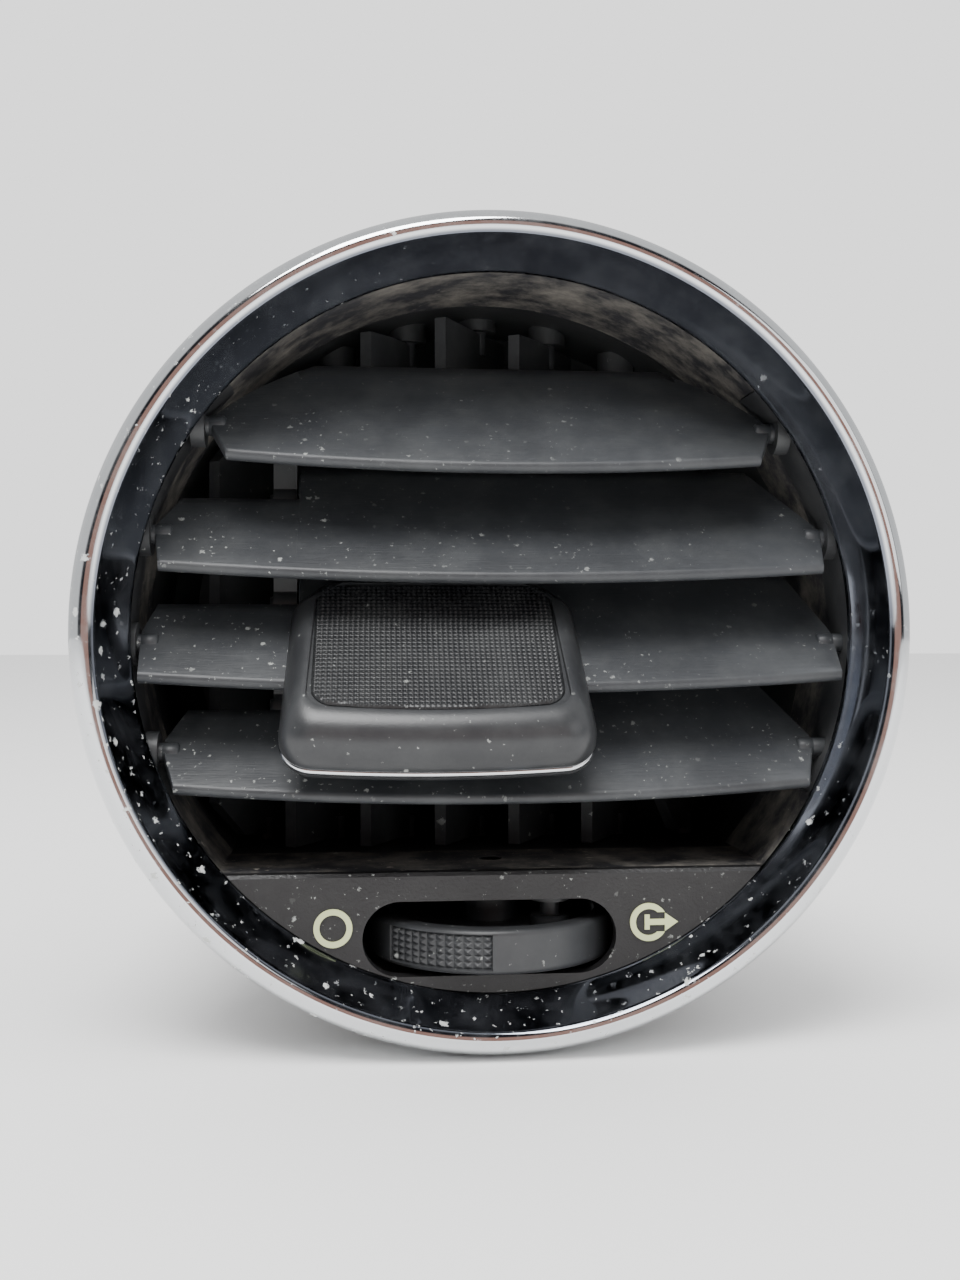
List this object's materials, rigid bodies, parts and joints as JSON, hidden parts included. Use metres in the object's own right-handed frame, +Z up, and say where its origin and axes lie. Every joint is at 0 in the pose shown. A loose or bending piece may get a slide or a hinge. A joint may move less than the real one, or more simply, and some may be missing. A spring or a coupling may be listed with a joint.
{
  "type": "round dashboard air vent",
  "caption": "Round car-dashboard air vent with chrome ring, tilting louvers, sliding knob steering upright vanes, and a thumbwheel-driven shut-off flap.",
  "frame": {"origin": "on the vent's axis, in the plane of the dash that the trim ring seats on", "axes": "+Y along the axis towards the duct, +Z up, +X to the right of a person facing the vent"},
  "size_m": [0.1, 0.1041, 0.1],
  "materials": {
    "chrome_plate": "bright plated",
    "housing_plastic": "moulded, fine grain",
    "bearing_plastic": "moulded, low friction",
    "panel_plastic": "grained",
    "louver_plastic": "fine matte",
    "vane_plastic": "matte",
    "link_plastic": "smooth",
    "knob_plastic": "satin",
    "wheel_plastic": "satin",
    "grip_rubber": "fine mesh relief",
    "flap_plastic": "smooth",
    "seal_rubber": "soft",
    "foam": "open-cell foam",
    "felt": "felt",
    "steel": "ground",
    "spring_steel": "phosphated strip",
    "symbol_ink": "printed ink"
  },
  "bodies": {
    "housing": {"front_housing": "housing_plastic", "rear_housing": "housing_plastic", "trim_ring": "chrome_plate", "control_panel": "panel_plastic", "closed_symbol": "symbol_ink", "open_symbol": "symbol_ink", "louver_bearing_left": "bearing_plastic", "louver_bearing_right": "bearing_plastic", "thumbwheel_axle": "steel", "duct_gasket": "foam", "mounting_clips": "spring_steel"},
    "louver_top": {"louver_top": "louver_plastic"},
    "louver_upper": {"louver_upper": "louver_plastic"},
    "louver_control": {"louver_control": "louver_plastic"},
    "louver_bottom": {"louver_bottom": "louver_plastic"},
    "louver_link": {"louver_link": "link_plastic"},
    "knob": {"knob_upper_shell": "knob_plastic", "knob_lower_shell": "knob_plastic", "knob_grip_pad": "grip_rubber", "knob_chrome_strip": "chrome_plate", "knob_fork": "link_plastic", "knob_brake_pad": "felt"},
    "vane_1": {"vane_1": "vane_plastic"},
    "vane_2": {"vane_2": "vane_plastic"},
    "vane_3": {"vane_3": "vane_plastic"},
    "vane_4": {"vane_4": "vane_plastic"},
    "vane_5": {"vane_5": "vane_plastic"},
    "vane_6": {"vane_6": "vane_plastic"},
    "vane_7": {"vane_7": "vane_plastic"},
    "vane_link": {"vane_link": "link_plastic"},
    "thumbwheel": {"thumbwheel": "wheel_plastic"},
    "flap": {"flap_disc": "flap_plastic", "flap_seal": "seal_rubber", "flap_crank": "link_plastic"},
    "flap_link": {"flap_link": "link_plastic"}
  },
  "joints": [
    {"name": "louver_tilt", "type": "hinge", "parent": "housing", "child": "louver_control", "pos_m": [0, 0.003, -0.00135], "axis": [1, 0, 0], "range_deg": [-72, 2.5]},
    {"name": "louver_top_tilt", "type": "hinge", "parent": "housing", "child": "louver_top", "pos_m": [0, 0.003, 0.02505], "axis": [1, 0, 0], "range_deg": [-72.01, 2.51]},
    {"name": "louver_upper_tilt", "type": "hinge", "parent": "housing", "child": "louver_upper", "pos_m": [0, 0.003, 0.01185], "axis": [1, 0, 0], "range_deg": [-72.01, 2.51]},
    {"name": "louver_bottom_tilt", "type": "hinge", "parent": "housing", "child": "louver_bottom", "pos_m": [0, 0.003, -0.01455], "axis": [1, 0, 0], "range_deg": [-72.01, 2.51]},
    {"name": "louver_link_swing", "type": "hinge", "parent": "louver_control", "child": "louver_link", "pos_m": [-0.0262, 0.01332, 0.00363], "axis": [1, 0, 0], "range_deg": [-2.51, 72.01]},
    {"name": "knob_slide", "type": "slide", "parent": "louver_control", "child": "knob", "axis": [1, 0, 0], "range_m": [-0.001, 0.013]},
    {"name": "vane_1_turn", "type": "hinge", "parent": "housing", "child": "vane_1", "pos_m": [-0.03, 0.03, 0], "axis": [0, 0, 1], "range_deg": [-4.73, 61.38]},
    {"name": "vane_2_turn", "type": "hinge", "parent": "housing", "child": "vane_2", "pos_m": [-0.02, 0.03, 0], "axis": [0, 0, 1], "range_deg": [-4.73, 61.38]},
    {"name": "vane_3_turn", "type": "hinge", "parent": "housing", "child": "vane_3", "pos_m": [-0.01, 0.03, 0], "axis": [0, 0, 1], "range_deg": [-4.73, 61.38]},
    {"name": "vane_4_turn", "type": "hinge", "parent": "housing", "child": "vane_4", "pos_m": [0, 0.03, 0], "axis": [0, 0, 1], "range_deg": [-4.73, 61.38]},
    {"name": "vane_5_turn", "type": "hinge", "parent": "housing", "child": "vane_5", "pos_m": [0.01, 0.03, 0], "axis": [0, 0, 1], "range_deg": [-4.73, 61.38]},
    {"name": "vane_6_turn", "type": "hinge", "parent": "housing", "child": "vane_6", "pos_m": [0.02, 0.03, 0], "axis": [0, 0, 1], "range_deg": [-4.73, 61.38]},
    {"name": "vane_7_turn", "type": "hinge", "parent": "housing", "child": "vane_7", "pos_m": [0.03, 0.03, 0], "axis": [0, 0, 1], "range_deg": [-4.73, 61.38]},
    {"name": "vane_link_swing", "type": "hinge", "parent": "vane_4", "child": "vane_link", "pos_m": [0.00284, 0.03528, 0.022], "axis": [0, 0, 1], "range_deg": [-61.38, 4.73]},
    {"name": "wheel_turn", "type": "hinge", "parent": "housing", "child": "thumbwheel", "pos_m": [0, 0.0094, -0.03765], "axis": [0, 0, 1], "range_deg": [0, 80]},
    {"name": "flap_turn", "type": "hinge", "parent": "housing", "child": "flap", "pos_m": [0, 0.064, 0], "axis": [0, 0, 1], "range_deg": [-0.01, 80.01]},
    {"name": "flap_link_swing", "type": "hinge", "parent": "thumbwheel", "child": "flap_link", "pos_m": [0.00689, 0.00362, -0.0322], "axis": [0, 0, 1], "range_deg": [-80.01, 0.01]}
  ],
  "couplings": [
    {"joint": "louver_top_tilt", "follows": "louver_tilt", "ratio": 1},
    {"joint": "louver_upper_tilt", "follows": "louver_tilt", "ratio": 1},
    {"joint": "louver_bottom_tilt", "follows": "louver_tilt", "ratio": 1},
    {"joint": "louver_link_swing", "follows": "louver_tilt", "ratio": -1},
    {"joint": "vane_1_turn", "follows": "knob_slide", "rad_per_m": 82.4},
    {"joint": "vane_2_turn", "follows": "knob_slide", "rad_per_m": 82.4},
    {"joint": "vane_3_turn", "follows": "knob_slide", "rad_per_m": 82.4},
    {"joint": "vane_4_turn", "follows": "knob_slide", "rad_per_m": 82.4},
    {"joint": "vane_5_turn", "follows": "knob_slide", "rad_per_m": 82.4},
    {"joint": "vane_6_turn", "follows": "knob_slide", "rad_per_m": 82.4},
    {"joint": "vane_7_turn", "follows": "knob_slide", "rad_per_m": 82.4},
    {"joint": "vane_link_swing", "follows": "knob_slide", "rad_per_m": -82.4},
    {"joint": "flap_turn", "follows": "wheel_turn", "ratio": 1},
    {"joint": "flap_link_swing", "follows": "wheel_turn", "ratio": -1}
  ]
}
